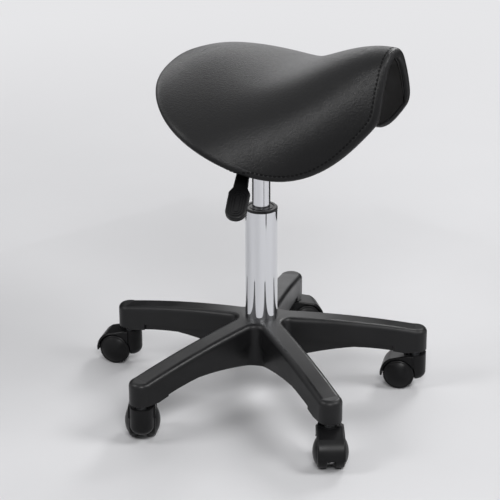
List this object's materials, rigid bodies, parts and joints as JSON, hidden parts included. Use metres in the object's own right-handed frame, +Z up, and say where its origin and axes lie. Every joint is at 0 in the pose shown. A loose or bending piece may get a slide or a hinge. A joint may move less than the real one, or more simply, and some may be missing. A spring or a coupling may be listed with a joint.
{
  "type": "rolling saddle stool",
  "caption": "Height-adjustable saddle stool: padded saddle seat on a gas lift column with a height lever, on a star base with swivelling twin-wheel casters.",
  "frame": {"origin": "point on the floor under the column, where the column's axis meets the plane the casters stand on", "axes": "+Z up along the column; the seat's front faces -Y; the sitter's right hand and the height lever are on the -X side"},
  "size_m": [0.5307, 0.5315, 0.5963],
  "materials": {
    "leatherette": "satin",
    "foam": "matte",
    "plywood": "satin",
    "black_steel": "satin",
    "chrome": "polished",
    "bright_steel": "satin",
    "turned_aluminium": "satin",
    "seal_rubber": "matte",
    "black_nylon": "satin",
    "white_acetal": "satin",
    "black_polypropylene": "satin"
  },
  "bodies": {
    "base": {"star_base": "black_nylon", "caster_grip_rings": "bright_steel", "outer_tube": "chrome", "guide_bush": "black_nylon", "foot_plate": "bright_steel", "lower_race": "bright_steel", "bearing_balls": "bright_steel", "ball_cage": "white_acetal"},
    "spindle": {"upper_race": "bright_steel", "piston_rod": "bright_steel", "retaining_clip": "bright_steel", "clip_washer": "bright_steel", "bump_stop": "seal_rubber", "piston": "turned_aluminium"},
    "seat": {"gas_cylinder": "chrome", "rod_guide": "white_acetal", "rod_seal": "seal_rubber", "valve_body": "turned_aluminium", "taper_socket": "black_steel", "mechanism_housing": "black_steel", "mounting_plate": "black_steel", "lever_pivot_pin": "bright_steel", "seat_bolts": "bright_steel", "seat_washers": "bright_steel", "t_nuts": "bright_steel", "seat_cover": "leatherette", "seat_edge_band": "leatherette", "seat_foam": "foam", "seat_shell": "plywood", "under_cover": "black_polypropylene", "spacer_block": "plywood"},
    "lever": {"lever_arm": "black_steel", "lever_paddle": "black_polypropylene"},
    "release": {"release_pin": "bright_steel"},
    "caster_1": {"caster_1_hood": "black_nylon", "caster_1_stem": "bright_steel", "caster_1_axle": "bright_steel"},
    "caster_1_wheel_left": {"caster_1_wheel_left": "black_nylon"},
    "caster_1_wheel_right": {"caster_1_wheel_right": "black_nylon"},
    "caster_2": {"caster_2_hood": "black_nylon", "caster_2_stem": "bright_steel", "caster_2_axle": "bright_steel"},
    "caster_2_wheel_left": {"caster_2_wheel_left": "black_nylon"},
    "caster_2_wheel_right": {"caster_2_wheel_right": "black_nylon"},
    "caster_3": {"caster_3_hood": "black_nylon", "caster_3_stem": "bright_steel", "caster_3_axle": "bright_steel"},
    "caster_3_wheel_left": {"caster_3_wheel_left": "black_nylon"},
    "caster_3_wheel_right": {"caster_3_wheel_right": "black_nylon"},
    "caster_4": {"caster_4_hood": "black_nylon", "caster_4_stem": "bright_steel", "caster_4_axle": "bright_steel"},
    "caster_4_wheel_left": {"caster_4_wheel_left": "black_nylon"},
    "caster_4_wheel_right": {"caster_4_wheel_right": "black_nylon"},
    "caster_5": {"caster_5_hood": "black_nylon", "caster_5_stem": "bright_steel", "caster_5_axle": "bright_steel"},
    "caster_5_wheel_left": {"caster_5_wheel_left": "black_nylon"},
    "caster_5_wheel_right": {"caster_5_wheel_right": "black_nylon"}
  },
  "joints": [
    {"name": "seat_swivel", "type": "hinge", "parent": "base", "child": "spindle", "pos_m": [0, 0, 0.067], "axis": [0, 0, 1], "continuous": true},
    {"name": "seat_height", "type": "slide", "parent": "spindle", "child": "seat", "axis": [0, 0, 1], "range_m": [-0.125, 0.015]},
    {"name": "lever_lift", "type": "hinge", "parent": "seat", "child": "lever", "pos_m": [-0.02295, -0.00702, 0.486], "axis": [-0.2924, 0.9563, 0], "range_deg": [0, 7], "stiffness_Nm_per_rad": 2},
    {"name": "pin_press", "type": "slide", "parent": "seat", "child": "release", "axis": [0, 0, -1], "range_m": [0, 0.0032]},
    {"name": "caster_1_swivel", "type": "hinge", "parent": "base", "child": "caster_1", "pos_m": [0.23569, 0.06315, 0.065], "axis": [0, 0, 1], "continuous": true},
    {"name": "caster_1_wheel_left_spin", "type": "hinge", "parent": "caster_1", "child": "caster_1_wheel_left", "pos_m": [0.25047, 0.04553, 0.025], "axis": [0.766, 0.6428, 0], "continuous": true},
    {"name": "caster_1_wheel_right_spin", "type": "hinge", "parent": "caster_1", "child": "caster_1_wheel_right", "pos_m": [0.25047, 0.04553, 0.025], "axis": [0.766, 0.6428, 0], "continuous": true},
    {"name": "caster_2_swivel", "type": "hinge", "parent": "base", "child": "caster_2", "pos_m": [0.01277, 0.24367, 0.065], "axis": [0, 0, 1], "continuous": true},
    {"name": "caster_2_wheel_left_spin", "type": "hinge", "parent": "caster_2", "child": "caster_2_wheel_left", "pos_m": [0.00799, 0.26616, 0.025], "axis": [-0.9781, -0.2079, 0], "continuous": true},
    {"name": "caster_2_wheel_right_spin", "type": "hinge", "parent": "caster_2", "child": "caster_2_wheel_right", "pos_m": [0.00799, 0.26616, 0.025], "axis": [-0.9781, -0.2079, 0], "continuous": true},
    {"name": "caster_3_swivel", "type": "hinge", "parent": "base", "child": "caster_3", "pos_m": [-0.22779, 0.08744, 0.065], "axis": [0, 0, 1], "continuous": true},
    {"name": "caster_3_wheel_left_spin", "type": "hinge", "parent": "caster_3", "child": "caster_3_wheel_left", "pos_m": [-0.2073, 0.09788, 0.025], "axis": [-0.454, 0.891, 0], "continuous": true},
    {"name": "caster_3_wheel_right_spin", "type": "hinge", "parent": "caster_3", "child": "caster_3_wheel_right", "pos_m": [-0.2073, 0.09788, 0.025], "axis": [-0.454, 0.891, 0], "continuous": true},
    {"name": "caster_4_swivel", "type": "hinge", "parent": "base", "child": "caster_4", "pos_m": [-0.15355, -0.18962, 0.065], "axis": [0, 0, 1], "continuous": true},
    {"name": "caster_4_wheel_left_spin", "type": "hinge", "parent": "caster_4", "child": "caster_4_wheel_left", "pos_m": [-0.17367, -0.20077, 0.025], "axis": [0.4848, -0.8746, 0], "continuous": true},
    {"name": "caster_4_wheel_right_spin", "type": "hinge", "parent": "caster_4", "child": "caster_4_wheel_right", "pos_m": [-0.17367, -0.20077, 0.025], "axis": [0.4848, -0.8746, 0], "continuous": true},
    {"name": "caster_5_swivel", "type": "hinge", "parent": "base", "child": "caster_5", "pos_m": [0.13289, -0.20464, 0.065], "axis": [0, 0, 1], "continuous": true},
    {"name": "caster_5_wheel_left_spin", "type": "hinge", "parent": "caster_5", "child": "caster_5_wheel_left", "pos_m": [0.12694, -0.18242, 0.025], "axis": [-0.9659, -0.2588, 0], "continuous": true},
    {"name": "caster_5_wheel_right_spin", "type": "hinge", "parent": "caster_5", "child": "caster_5_wheel_right", "pos_m": [0.12694, -0.18242, 0.025], "axis": [-0.9659, -0.2588, 0], "continuous": true}
  ],
  "couplings": [
    {"joint": "pin_press", "follows": "lever_lift", "m_per_rad": 0.0255}
  ]
}
